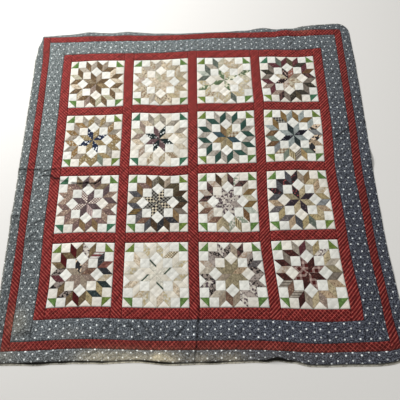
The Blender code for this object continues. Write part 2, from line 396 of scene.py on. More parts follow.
# %% Colour and node helpers
def linear(colour):
    """An sRGB hex colour as linear red, green, blue and alpha."""
    channels = [int(colour[place:place + 2], 16) / 255 for place in (0, 2, 4)]
    return (*[c / 12.92 if c <= 0.04045 else ((c + 0.055) / 1.055) ** 2.4 for c in channels], 1.0)


def add(tree, kind, inputs=(), stops=(), **settings):
    """Add one node: its inputs, in order or by name, its colour stops and its settings."""
    made = tree.nodes.new("ShaderNode" + kind)
    for setting, value in settings.items():
        setattr(made, setting, value)
    for socket, value in inputs.items() if isinstance(inputs, dict) else enumerate(inputs):
        if isinstance(value, bpy.types.Node):
            value = value.outputs[0]
        if isinstance(value, bpy.types.NodeSocket):
            tree.links.new(value, made.inputs[socket])
        else:
            made.inputs[socket].default_value = value
    for number, (place, colour) in enumerate(stops):
        elements = made.color_ramp.elements
        element = elements[number] if number < 2 else elements.new(place)
        element.position = place
        element.color = linear(colour)
    return made


print("muslin in linear light:", [round(channel, 3) for channel in linear("e2e1da")[:3]])

# %% [markdown]
# Every cotton here shares one build. Its print gives a colour, which the water marks lighten and
# yellow. That colour is then shaded: by how light or dark this cut of cloth is, by soft mottling, by
# a darker line along the seams, and by painted shade in the grooves of folds and quilting lines and in
# the gap under the top's near edge. The rising quilting lines, which cross the key lamp's light, get
# deeper painted shade than the falling ones. The weave and the running stitches are a fine bump. A
# real thread is near 0.4 mm, far too fine to show from two metres, so the weave is drawn at 2 mm.
# Stitches are 3 mm long with 3 mm between them, and are drawn at that size.

# %% The cotton that all prints are made on
COTTON = {"Roughness": 0.92, "IOR": 1.46, "Sheen Weight": 0.05, "Specular IOR Level": 0.15}
WEAVE_DRAWN = 2.0 * MM
WEAVE_SHARE = 0.22
STITCH_REPEAT = 6.0 * MM
STITCH_WIDTH = 1.2 * MM
BUMP = {"Distance": 0.5 * MM, "Strength": 0.5}
# half width of the painted shade along each quilting line
GROOVE_SHADE_WIDTH = 4.4 * MM
SEAM_FROM, SEAM_SHADE = 0.6, 0.74
# deepest painted shade, in the groove of a crease and in the gap under the top's near edge
DEEPEST_PAINTED_SHADE = 0.04
MOTTLE_SIZE = 70.0 * MM
MOTTLE_SHADES = (0.90, 1.06)
BREAK_UP_SIZE = 8.0 * MM
STAIN_COLOUR = "d9c9a0"
QUILTED = {  # spacing of the quilting lines, the painted shade along them, how much the print breaks up
    "muslin": (26.8 * MM, 0.91, 0.03),
    "patch": (26.8 * MM, 0.90, 0.20),
    "sash": (36.0 * MM, 0.55, 0.24),
    "border": (57.0 * MM, 0.62, 0.24),
}
PLAIN_MUSLINS = ("white", "ivory", "cream")


def cotton(name, paint, quilted_as):
    """A plain-woven cotton with a print, quilted as one of the rows of the table above."""
    lane, line_shade, break_up = QUILTED[quilted_as]
    material = bpy.data.materials.new(name)
    material.use_nodes = True
    tree = material.node_tree
    cloth = add(tree, "UVMap", uv_map="Cloth")
    colour = paint(tree, cloth)

    quilting = add(tree, "UVMap", uv_map="Quilting")
    in_lane = add(tree, "VectorMath", [quilting], operation="FRACTION")
    from_middle = add(tree, "VectorMath", (in_lane, (0.5, 0.5, 0.5)), operation="SUBTRACT")
    off_middle = add(tree, "VectorMath", [from_middle], operation="ABSOLUTE")
    both = add(tree, "SeparateXYZ", [off_middle]).outputs
    # painted groove shade on the quilting lines, deeper on the rising ones, which cross the key light
    groove_shade_band = (0.5 - GROOVE_SHADE_WIDTH / lane, 0.5, 1.0)
    falling_line = add(tree, "MapRange", (both[0], *groove_shade_band, (1 + line_shade) / 2))
    rising_line = add(tree, "MapRange", (both[1], *groove_shade_band, line_shade))

    stored_mark = {mark: add(tree, "Attribute", attribute_name=mark).outputs["Fac"]
           for mark in ("seam", "painted_shade", "tone", "stain")}
    seamed = add(tree, "MapRange", (stored_mark["seam"], SEAM_FROM, 1.0, 1.0, SEAM_SHADE))
    # painted shade in the grooves of folds and under the top's near edge
    painted_shading = add(tree, "MapRange", (stored_mark["painted_shade"], 0.0, 1.0, 1.0, DEEPEST_PAINTED_SHADE))
    place = add(tree, "TexCoord").outputs["Object"]
    mottle = add(tree, "TexNoise", {"Vector": place, "Scale": 1 / MOTTLE_SIZE, "Detail": 5.0})
    mottled = add(tree, "MapRange", (mottle, 0.3, 0.7, *MOTTLE_SHADES))
    figures = add(tree, "TexVoronoi", {"Vector": cloth, "Scale": 1 / BREAK_UP_SIZE})
    broken_up = add(tree, "MapRange", (figures.outputs["Color"], 0.25, 0.75,
                                       1 - break_up, 1 + break_up))
    shade = falling_line
    for part in (rising_line, seamed, painted_shading, stored_mark["tone"], mottled, broken_up):
        shade = add(tree, "Math", (shade, part), operation="MULTIPLY")
    stained = add(tree, "Mix", {0: stored_mark["stain"], 6: colour, 7: linear(STAIN_COLOUR)},
                  data_type="RGBA", blend_type="ADD")
    shaded = add(tree, "VectorMath", {0: stained.outputs[2], "Scale": shade}, operation="SCALE")

    threads = add(tree, "VectorMath", (cloth, (2 * math.pi / WEAVE_DRAWN,) * 3),
                  operation="MULTIPLY")
    over_under = add(tree, "VectorMath", [threads], operation="SINE")
    thread = add(tree, "SeparateXYZ", [over_under]).outputs
    weave = add(tree, "Math", (thread[0], thread[1]), operation="MULTIPLY")
    lane_at = add(tree, "SeparateXYZ", [quilting]).outputs
    along = add(tree, "Math", (lane_at[0], lane_at[1]), operation="ADD")
    repeats = add(tree, "Math", (along, lane / STITCH_REPEAT), operation="MULTIPLY")
    dash = add(tree, "Math", [repeats], operation="FRACT")
    stitch_now = add(tree, "Math", (dash, 0.5), operation="LESS_THAN")
    near_line = add(tree, "Math", (both[0], both[1]), operation="MAXIMUM")
    stitch_line = add(tree, "Math", (near_line, 0.5 - STITCH_WIDTH / 2 / lane),
                      operation="GREATER_THAN")
    stitch = add(tree, "Math", (stitch_now, stitch_line), operation="MULTIPLY")
    relief = add(tree, "Math", (weave, WEAVE_SHARE, stitch), operation="MULTIPLY_ADD")
    bump = add(tree, "Bump", {"Height": relief, **BUMP})

    shader = tree.nodes["Principled BSDF"]
    for setting, value in COTTON.items():
        shader.inputs[setting].default_value = value
    tree.links.new(shaded.outputs[0], shader.inputs["Base Color"])
    tree.links.new(bump.outputs[0], shader.inputs["Normal"])
    return material


print("weave is drawn at", WEAVE_DRAWN / MM, "mm")

# %% [markdown]
# The scrap prints are the small all-over patterns that dressmakers bought: specks, sprigs, checks,
# stripes, lines and plaids. Eight paint functions cover them. Each gets its place on the cloth in
# repeats of its own pattern, so only the size and two colours change from one scrap to the next.

# %% Paints for the scrap prints
def printed(paint, size, ground, figure):
    """A paint ready for `cotton`: it gets its place on the cloth in repeats of the pattern."""
    def lay(tree, cloth):
        repeats = add(tree, "VectorMath", (cloth, (1 / size,) * 3), operation="MULTIPLY")
        return paint(tree, repeats, ground, figure)
    return lay


def plain(tree, repeats, ground, figure):
    """A dyed ground with a soft, cloudy change towards a second colour."""
    cloud = add(tree, "TexNoise", {"Vector": repeats, "Scale": 1.0})
    return add(tree, "ValToRGB", [cloud], ((0.35, ground), (0.7, figure)))


def specks(tree, repeats, ground, figure):
    """Small specks, one to a repeat, scattered as on a printed calico."""
    spots = add(tree, "TexVoronoi", {"Vector": repeats, "Scale": 1.0})
    return add(tree, "ValToRGB", [spots], ((0.26, figure), (0.36, ground)))


def sprigs(tree, repeats, ground, figure):
    """Loose blots of leaves and petals, with a lighter heart to some of them."""
    blots = add(tree, "TexNoise", {"Vector": repeats, "Scale": 1.0, "Detail": 1.0})
    stops = ((0.50, ground), (0.55, figure), (0.66, figure), (0.70, ground))
    return add(tree, "ValToRGB", [blots], stops)


def flecks(tree, repeats, ground, figure):
    """Ragged flecks, as of tiny leaves, over a third of the ground."""
    cells = add(tree, "TexVoronoi", {"Vector": repeats, "Scale": 1.0})
    return add(tree, "ValToRGB", [cells.outputs["Color"]], ((0.54, ground), (0.62, figure)))


def check(tree, repeats, ground, figure):
    """Woven squares of two colours, two to a repeat."""
    colours = {"Color1": linear(ground), "Color2": linear(figure)}
    return add(tree, "TexChecker", {"Vector": repeats, "Scale": 2.0, **colours})


def stripe(tree, repeats, ground, figure):
    """Printed lines that run with the grain."""
    across = add(tree, "SeparateXYZ", [repeats]).outputs[1]
    share = add(tree, "Math", [across], operation="FRACT")
    stops = ((0.50, ground), (0.56, figure), (0.94, figure), (1.0, ground))
    return add(tree, "ValToRGB", [share], stops)


def lines(tree, repeats, ground, figure):
    """One narrow printed line to a repeat, on the bias."""
    across = add(tree, "SeparateXYZ", [repeats]).outputs
    bias = add(tree, "Math", (across[0], across[1]), operation="SUBTRACT")
    share = add(tree, "Math", [bias], operation="FRACT")
    stops = ((0.70, ground), (0.74, figure), (0.91, figure), (0.95, ground))
    return add(tree, "ValToRGB", [share], stops)


def plaid(tree, repeats, ground, figure):
    """Bars both ways, darkest where they cross."""
    share = add(tree, "VectorMath", [repeats], operation="FRACTION")
    both = add(tree, "SeparateXYZ", [share]).outputs
    bars = [add(tree, "Math", (both[way], 0.4), operation="LESS_THAN") for way in (0, 1)]
    crossing = add(tree, "Math", bars, operation="ADD")
    mix = add(tree, "Math", (crossing, 0.5), operation="MULTIPLY")
    return add(tree, "ValToRGB", [mix], ((0.0, ground), (1.0, figure)))


PAINTS = (plain, specks, sprigs, flecks, check, stripe, lines, plaid)
print("paints:", [paint.__name__ for paint in PAINTS])

# %% [markdown]
# A quilter's scrap bag, sorted by how each print is painted. A print has the size of its repeat in
# millimetres, its ground and its figure. Where a real print is finer than a pixel it is drawn with a
# repeat of 8 mm or more, so that it still breaks up the colour.

# %% The scrap bag
SCRAPS = {
    plain: {
        "white": (30, "e3e2da", "dad9d0"), "ivory": (30, "e3dfd4", "dad4c7"),
        "cream": (30, "dbd5c7", "cfc8b8"), "pale_grey": (20, "aea495", "9d9485"),
        "blue_white": (20, "b2b7aa", "9da498"), "taupe": (15, "9b8e7c", "8b7d6d"),
        "grey_taupe": (15, "7a7065", "686057"), "ochre": (14, "725a38", "7f6843"),
        "orange_gold": (16, "9b875e", "7f684c"), "grey": (14, "999082", "8a8275"),
        "teal_grey": (14, "7a8072", "6a7165"), "pink_grey": (14, "9c9081", "8b7f70"),
        "pink_beige": (14, "a49d92", "928b80"), "light_blue_grey": (14, "989f9b", "858d8b"),
        "slate_grey": (14, "828483", "6e7171"), "grey_green": (14, "737b6e", "636c60"),
        "dark_green": (14, "304c42", "25403a"), "navy_steel": (14, "3b4f56", "2f4147"),
        "maroon": (14, "4e1515", "3e1011"), "brick": (14, "6e3f38", "7f564b"),
    },
    specks: {
        "pale_peach": (9, "c4b6a0", "a58f76"), "lilac": (10, "9c9189", "625757"),
        "brown": (8, "604d37", "8b7455"), "golden_brown": (8, "837053", "ae9973"),
        "olive_brown": (8, "7a6b56", "9e8e75"), "mauve_taupe": (8, "857468", "a89889"),
        "tan": (9, "a89379", "735c44"), "tan_specks": (12, "bbad95", "3e322b"),
        "khaki": (9, "ab9d7f", "837658"), "gold_rust": (10, "8c7955", "bbb19c"),
        "rust_specks": (10, "876b45", "b8ad97"), "ochre_brown": (8, "7b6446", "594634"),
        "gold_khaki": (9, "9c8d69", "766646"), "rust": (8, "624831", "806649"),
        "dark_brown": (8, "433425", "634f3a"), "dark_olive": (8, "4c4434", "6f654d"),
        "slate_green": (9, "565e55", "7f8075"), "navy_white": (14, "1d2840", "e2e4e4"),
        "navy": (9, "2b2c2f", "605a57"), "navy_specks": (12, "15141c", "68656d"),
        "slate_blue": (9, "4a4b4e", "686567"), "dark_slate": (9, "263031", "424d4c"),
        "black_teal": (13, "1a2626", "d6dbd6"), "mauve_black": (13, "5f494a", "b3a5a1"),
        "black_specks": (12, "2c2221", "c4a79b"), "black_olive": (10, "34312a", "605945"),
        "burgundy": (9, "552c31", "724e4c"), "dark_maroon": (9, "391e1b", "5b352f"),
        "maroon_brown": (9, "6c5144", "907963"), "red_pink": (12, "8a5c50", "b8a097"),
        "dark_mauve": (8, "564748", "706060"), "mauve": (9, "705a55", "a28778"),
        "mauve_tan": (10, "8a7466", "c2ad99"), "olive": (9, "67563f", "857355"),
        "gold_olive": (9, "8f846a", "6e644e"), "plum": (10, "30282f", "635053"),
        "plum_red": (11, "2a2225", "8c4644"), "slate_plum": (9, "5b5656", "7f7876"),
        "leaf_green": (8, "57743b", "6d8a50"), "olive_green": (8, "637635", "7c8c4a"),
        "teal_green": (8, "37634a", "4f765c"),
    },
    sprigs: {
        "cream_leaf": (30, "5c6d50", "d3d1b8"), "rust_slate": (30, "6c4631", "444b45"),
        "black_tan": (24, "28282a", "dcc4a9"), "black_lilac": (18, "8b7f77", "201b1c"),
        "burgundy_black": (20, "5a413d", "2a2322"),
    },
    flecks: {
        "pale_tan": (8, "c6bca8", "9c8c72"), "pale_sage": (8, "c6bea9", "9a977d"),
        "pale_pink": (8, "bfb3a5", "94806f"), "cream_print": (8, "cac4b3", "a89a79"),
        "pale_lilac": (9, "c1b9ae", "56494d"), "white_sprig": (8, "d6cec2", "7a8373"),
        "tan_floral": (8, "c5bba4", "87745e"),
    },
    check: {
        "tan_check": (13, "c3b8a0", "7c6e55"), "pink_check": (14, "d3c6b9", "6b5352"),
        "black_check": (22, "c4b9a2", "181618"), "slate_check": (20, "8c897f", "282725"),
        "line_check": (11, "2d2a27", "958c7a"),
    },
    stripe: {
        "mauve_stripe": (10, "bba69f", "8b7677"), "tan_stripe": (11, "b0a382", "6c5d41"),
        "grey_stripe": (11, "988f83", "625a50"), "olive_stripe": (11, "463f2b", "83673a"),
        "red_stripe": (18, "7a4243", "c7c4be"),
    },
    lines: {
        "green_slivers": (44.45, "cfcbbc", "2f4439"),
    },
    plaid: {
        "red_plaid": (26, "4a1a18", "b39a90"), "rust_plaid": (18, "b9b09b", "735334"),
    },
}

scrap_cloths = {
    name: cotton(f"{name}_calico", printed(paint, size * MM, ground, figure),
                 "muslin" if name in PLAIN_MUSLINS else "patch")
    for paint, prints in SCRAPS.items() for name, (size, ground, figure) in prints.items()
}
print("scrap prints in the bag:", len(scrap_cloths))

# %% [markdown]
# Two prints were bought by the yard. The sashing and the narrow border are a dark red with fine
# slanting rows of tan dots. The rows fall to the right on the left half of the quilt and rise to the
# right on the other, and both show in the level strips. The red is a little lighter where the quilt
# has faded. The real rows are about 8 mm apart, too fine for this picture, so they are drawn at
# 12.4 mm, and at 13 mm where both ways cross.

# %% The red print
RED_FADED, RED_DEEP = "711c1e", "5b1114"
ROW_DOTS = "b0554b"
ROW_SPACING = 12.4 * MM
CROSSED_SPACING = 13.0 * MM
DOT_SPACING = 6.0 * MM
DOT_ENDS = (0.22, 0.34)
BETWEEN_DOTS = 0.25
ROW_SHARE = 0.30
ROW_BLUR = 1.5


def dotted_rows(directions, spacing):
    """Rows of dots; a direction of 1 falls to the right and -1 rises."""
    def paint(tree, cloth):
        faded = add(tree, "Attribute", attribute_name="fade").outputs["Fac"]
        ground = add(tree, "ValToRGB", [faded], ((0.15, RED_DEEP), (0.85, RED_FADED)))
        x, y, _ = add(tree, "SeparateXYZ", [cloth]).outputs
        reach = ROW_SHARE / 2 / len(directions)
        shown = 0.0
        for direction in directions:
            beats = []
            for turn, repeat in ((direction, spacing), (-direction, DOT_SPACING)):
                slant = add(tree, "Math", (y, turn, x), operation="MULTIPLY_ADD")
                step = add(tree, "Math", (slant, math.sqrt(0.5) / repeat), operation="MULTIPLY")
                beats.append(add(tree, "Math", (step, 0.5), operation="PINGPONG"))
            in_row = add(tree, "MapRange", (beats[0], reach, ROW_BLUR * reach, 1.0, 0.0))
            in_dot = add(tree, "MapRange", (beats[1], *DOT_ENDS, 1.0, BETWEEN_DOTS))
            dots = add(tree, "Math", (in_row, in_dot), operation="MULTIPLY")
            shown = add(tree, "Math", (shown, dots), operation="MAXIMUM")
        mixed = add(tree, "Mix", {0: shown, 6: ground, 7: linear(ROW_DOTS)}, data_type="RGBA")
        return mixed.outputs[2]
    return paint


RED_ROWS = {"falling": ((1,), ROW_SPACING), "rising": ((-1,), ROW_SPACING),
            "crossed": ((1, -1), CROSSED_SPACING)}
red_cloths = {name: cotton(f"red_{name}_row_calico", dotted_rows(*row), "sash")
              for name, row in RED_ROWS.items()}
print("red cloths:", sorted(red_cloths))

# %% [markdown]
# The wide borders are an indigo-grey print: a ground broken up by tiny pale marks, with white dots
# 7 mm across in a regular half-drop. One repeat is 62 by 33 mm and holds two dots. The ground is
# greener and lighter where it has faded, and bluer where it has kept its dye.

# %% The dotted blue print
BLUE_FADED, BLUE_DEEP = "4c5354", "21242e"
MARKS_FADED, MARKS_DEEP = "959c9b", "676b75"
MARK_SIZE = 6.0 * MM
MARK_ENDS = (0.45, 0.57)
MARK_STRENGTH = 0.85
DOT_WHITE = "dfe3e2"
DOT_STRENGTH = 0.92
DOT_ACROSS = 7.3 * MM
DOT_BLUR = 1.4 * MM
DOT_REPEAT = (62.0 * MM, 33.0 * MM, 1.0)
DOT_PLACES = ((0.0, 0.0, 0.0), (27.0 * MM, 12.0 * MM, 0.0))


def white_dots(tree, cloth):
    """The blue ground with its pale marks and its two white dots to a repeat."""
    faded = add(tree, "Attribute", attribute_name="fade").outputs["Fac"]
    ground = add(tree, "ValToRGB", [faded], ((0.2, BLUE_DEEP), (0.8, BLUE_FADED)))
    leaves = add(tree, "ValToRGB", [faded], ((0.2, MARKS_DEEP), (0.8, MARKS_FADED)))
    marks = add(tree, "TexNoise", {"Vector": cloth, "Scale": 1 / MARK_SIZE, "Detail": 2.0})
    marked = add(tree, "MapRange", (marks, *MARK_ENDS, 0.0, MARK_STRENGTH))
    colour = add(tree, "Mix", {0: marked, 6: ground, 7: leaves}, data_type="RGBA")
    for place in DOT_PLACES:
        moved = add(tree, "VectorMath", (cloth, place), operation="SUBTRACT")
        share = add(tree, "VectorMath", (moved, DOT_REPEAT), operation="DIVIDE")
        in_cell = add(tree, "VectorMath", [share], operation="FRACTION")
        centred = add(tree, "VectorMath", (in_cell, (0.5, 0.5, 0.0)), operation="SUBTRACT")
        back = add(tree, "VectorMath", (centred, DOT_REPEAT), operation="MULTIPLY")
        off = add(tree, "VectorMath", [back], operation="LENGTH").outputs["Value"]
        dot = add(tree, "MapRange", (off, (DOT_ACROSS - DOT_BLUR) / 2, (DOT_ACROSS + DOT_BLUR) / 2,
                                     DOT_STRENGTH, 0.0))
        colour = add(tree, "Mix", {0: dot, 6: colour.outputs[2], 7: linear(DOT_WHITE)},
                     data_type="RGBA")
    return colour.outputs[2]


blue_cloth = cotton("indigo_dot_calico", white_dots, "border")
backing_cloth = cotton("unbleached_muslin", printed(plain, 25 * MM, "d4d0c2", "c6c0ae"), "border")
print("yardage:", blue_cloth.name, "and", backing_cloth.name)

# %% [markdown]
# A block is drafted like a compass rose. Every patch is a corner point and two sides of one patch
# length: with 45 degrees between the sides it is a diamond, with 90 it is a square, and cut
# across it is a triangle. Eight diamonds make the star, eight squares fill its notches, and three
# diamonds grow from each tip to make the wheel. Squares and triangles fill out the block.

# %% Draft of one block
SIDE_STEPS = 10
MERGE_WITHIN = 0.01 * MM
DIAGONAL = PATCH_SIDE * math.sqrt(0.5)


def heading(degrees):
    """A side of one patch length in a direction."""
    return PATCH_SIDE * np.array((math.cos(math.radians(degrees)), math.sin(math.radians(degrees))))


def draft_patches():
    """Every patch of a block: its cloth's key, its corner, its two sides, and if it is a triangle."""
    patches = []
    for k in range(8):
        turn = 90 - 45 * k
        tip = heading(turn) + heading(turn - 45)
        patches.append((f"star {k}", np.zeros(2), heading(turn - 45), heading(turn), False))
        notch = heading(turn - 45)
        patches.append((f"notch {k}", notch, heading(turn - 90), heading(turn), False))
        for j in range(3):
            side = turn + 45 - 45 * j
            patches.append((f"ring {3 * k + j}", tip, heading(side - 45), heading(side), False))
    for quarter in range(4):
        turn = 90 - 90 * quarter
        cos, sin = round(math.cos(math.radians(turn))), round(math.sin(math.radians(turn)))

        def place(x, y):
            return np.array((x * cos - y * sin, x * sin + y * cos))

        inner, outer = PATCH_SIDE + 2 * DIAGONAL, 2 * PATCH_SIDE + 2 * DIAGONAL
        east, north = heading(turn), heading(turn + 90)
        patches.append((f"outer {2 * quarter}", place(inner, 2 * DIAGONAL), east, north, False))
        patches.append((f"outer {2 * quarter + 1}", place(2 * DIAGONAL, inner), east, north, False))
        patches.append((f"corner {quarter}", place(inner, inner), east, north, True))
        patches.append((f"cap {quarter}", place(outer, outer), -east, -north, True))
        peak = 2 * PATCH_SIDE + DIAGONAL
        patches.append((f"edge {2 * quarter}", place(peak, DIAGONAL),
                        heading(turn - 45), heading(turn + 45), True))
        patches.append((f"edge {2 * quarter + 1}", place(peak, -DIAGONAL),
                        heading(turn - 45), heading(turn + 45), True))
    return patches


PATCHES = draft_patches()
print("patches in a block:", len(PATCHES))

# %% [markdown]
# Each patch is meshed on its own small grid, and points that two patches share are merged, so that
# the seams run exactly along mesh edges. The points on a seam are flagged: they are pressed down a
# little, as a real seam is.

# %% Mesh of one block


def patch_grid(corner, first, second, is_triangle):
    """Points, faces and seam flags of one patch."""
    steps = SIDE_STEPS
    numbers, points, on_seam, faces = {}, [], [], []
    for i in range(steps + 1):
        for j in range(steps + 1 - (i if is_triangle else 0)):
            numbers[i, j] = len(points)
            points.append(corner + first * (i / steps) + second * (j / steps))
            past = i + j == steps if is_triangle else steps in (i, j)
            on_seam.append(past or 0 in (i, j))
    for i, j in numbers:
        ring = [(i, j), (i + 1, j), (i + 1, j + 1), (i, j + 1)]
        if all(spot in numbers for spot in ring):
            faces.append([numbers[spot] for spot in ring])
        elif is_triangle and i + j < steps:
            faces.append([numbers[spot] for spot in (ring[0], ring[1], ring[3])])
    return points, faces, on_seam


def block_mesh():
    """All patches of a block joined: points, faces, the patch of each face, and seam flags."""
    merged, points, seams, faces, owners = {}, [], [], [], []
    for owner, (_, corner, first, second, is_triangle) in enumerate(PATCHES):
        own_points, own_faces, own_seams = patch_grid(corner, first, second, is_triangle)
        numbers = []
        for point, on_seam in zip(own_points, own_seams):
            key = tuple(np.round(point / MERGE_WITHIN).astype(int))
            if key not in merged:
                merged[key] = len(points)
                points.append(point)
                seams.append(on_seam)
            numbers.append(merged[key])
        for face in own_faces:
            faces.append([numbers[spot] for spot in face])
            owners.append(owner)
    return np.array(points), faces, np.array(owners), np.array(seams, float)


BLOCK_POINTS, BLOCK_FACES, BLOCK_OWNERS, BLOCK_SEAMS = block_mesh()
print("one block has", len(BLOCK_POINTS), "points and", len(BLOCK_FACES), "faces")

# %% [markdown]
# Panels with one print, the sashes and borders, are plain grids. Every quilting cell is cut into even
# steps of at most 4.6 mm, with mesh lines on the cell lines, so that the mesh follows each puff.

# %% Mesh of one strip
STEP = 4.6 * MM


def strip_stations(first_line, last_line):
    """Plan places of the mesh lines between two cell lines, drawn in a hair at the seams."""
    places = [LINES[first_line]]
    for line in range(first_line, last_line):
        width = LINES[line + 1] - LINES[line]
        steps = max(2, math.ceil(width / STEP))
        places += [LINES[line] + width * (n + 1) / steps for n in range(steps)]
    if first_line > 0:
        places[0] += SEAM_GAP / 2
    if last_line < len(LINES) - 1:
        places[-1] -= SEAM_GAP / 2
    return np.array(places)


def grid(across, along):
    """Points and faces of a flat sheet, from the places of its mesh lines both ways."""
    x, y = np.meshgrid(across, along)
    wide, high = len(across), len(along)
    corner = (np.arange(high - 1)[:, None] * wide + np.arange(wide - 1)[None, :]).ravel()
    faces = np.stack([corner, corner + 1, corner + wide + 1, corner + wide], axis=1)
    return np.stack([x.ravel(), y.ravel()], axis=1), faces.tolist()


def strip_mesh(columns, levels):
    """Points and faces of a panel that fills a rectangle of strips."""
    return grid(*[strip_stations(STARTS[first], STARTS[last + 1])
                  for first, last in (columns, levels)])


print("short sash points:", len(strip_mesh((4, 4), (3, 3))[0]))

# %% [markdown]
# Now the sewing. `sew` takes a flat panel and makes the real one: it lays every point where the worn
# quilt has it and raises the top by its puffs, crinkles and folds, down to a thin edge where the panel
# is sewn to its neighbour. `closed_cloth` gives any sheet its underside and rim, and stores the cloth
# and quilting coordinates, its marks and its painted shade on it.

# %% Sewing a panel
TURNED_THIN = 0.35 * MM
SEAM_BAND = 0.5 * MM


def edge_loop(faces):
    """Directed edges that belong to one face only: the outline of a panel."""
    edges = {(a, b) for face in faces for a, b in zip(face, face[1:] + face[:1])}
    return [(a, b) for a, b in edges if (b, a) not in edges]


def keep(mesh, name, values, domain="POINT"):
    """Store one number for each point or face of a mesh."""
    mesh.attributes.new(name, "FLOAT", domain).data.foreach_set("value", values)


def numbers_of(collection, name):
    """One whole number of every item of a part of a mesh."""
    values = np.zeros(len(collection), np.int32)
    collection.foreach_get(name, values)
    return values


def closed_cloth(name, kind, plan, faces, heights, lain, cloth_uv, stored_marks):
    """A sheet with top, underside and rim, storing its cloth places, marks and painted shade."""
    count = len(plan)
    points = np.concatenate([np.stack([*lain, height], axis=1) for height in heights])
    below = [[corner + count for corner in reversed(face)] for face in faces]
    rims = [[b, a, a + count, b + count] for a, b in edge_loop(faces)]
    mesh = bpy.data.meshes.new(name)
    mesh.from_pydata(points.tolist(), [], faces + below + rims)

    loops_of_face = numbers_of(mesh.polygons, "loop_total")
    top_face = np.repeat(np.arange(len(mesh.polygons)), loops_of_face) % len(faces)
    spots = plan[numbers_of(mesh.loops, "vertex_index") % count]
    quilting = np.stack(lanes(*spots.T), axis=1) * LINES_TO_A_LANE.get(kind, 1.0)
    for layer, places in {"Cloth": cloth_uv(top_face, spots), "Quilting": quilting}.items():
        places = np.asarray(places, np.float32).ravel()
        mesh.uv_layers.new(name=layer).data.foreach_set("uv", places)
    for stored_mark, values in {"fade": fade(*lain), **stored_marks}.items():
        keep(mesh, stored_mark, np.resize(values, 2 * count))
    return mesh


def sew(name, kind, plan, faces, seams, cloth_uv):
    """Make a panel of the top; cloth_uv turns a face number and plan points to cloth places."""
    x, y = lie(plan[:, 0], plan[:, 1])
    low, high = plan.min(axis=0), plan.max(axis=0)
    inward = np.minimum(plan - low, high - plan).min(axis=1)
    roll = 1 - np.exp(-inward / EDGE_ROLL)
    shares = [np.where(np.abs(places) > RED_EDGE, share, 1.0)
              for places, share in zip(plan.T, edge_share(plan[:, 0], plan[:, 1]))]

    ridge, groove, dark = folds(x, y)
    crinkle = waves(x, y, CRINKLE_WAVES, CRINKLE_LENGTHS, CRINKLE_HEIGHT, SEED)
    ripple = waves(x, y, RIPPLE_WAVES, RIPPLE_LENGTHS, RIPPLE_HEIGHT, SEED + 1)
    under = TOP_UNDERSIDE + lift(x, y) + ridge + np.maximum(ripple + RIPPLE_HEIGHT, 0)
    thick = SEWN_THICK + loft(kind, plan[:, 0], plan[:, 1]) * (shares[0] * shares[1]) + crinkle
    thick = thick - SEAM_DITCH * seams - groove
    thick = np.maximum(EDGE_THICK + (thick - EDGE_THICK) * roll, TURNED_THIN)

    rim = RIM_STRENGTH * bell(HALF - np.maximum(-plan[:, 0], plan[:, 1]), WORN_RIM)
    # the folds' painted groove shade is stored with the seam flags and water marks
    stored_marks = {"seam": np.maximum(seams, inward < SEAM_BAND), "painted_shade": dark,
            "stain": np.maximum(stain(x, y), rim)}
    mesh = closed_cloth(name, kind, plan, faces, (under + thick, under), (x, y), cloth_uv, stored_marks)
    smooth = np.arange(len(mesh.polygons)) < 2 * len(faces)
    mesh.polygons.foreach_set("use_smooth", smooth)
    return mesh


def place_panel(node, mesh):
    """Show a panel in place of its solid, riding on the quilt."""
    piece = bpy.data.objects.new(f"{node}_cloth", mesh)
    bpy.context.scene.collection.objects.link(piece)
    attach(piece, "root")
    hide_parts(node)


print("a sewn edge is", EDGE_THICK / MM, "mm thick")

# %% [markdown]
# The chart says which scrap goes where, for each row and column of blocks. It was read from the real
# quilt patch by patch. The star comes first, clockwise from the right of its top point, then the wheel
# of 24 diamonds the same way, then the greens of the four corners: far right, near right, near left,
# far left. A short list goes round again, and a slash parts the even places from the odd ones.

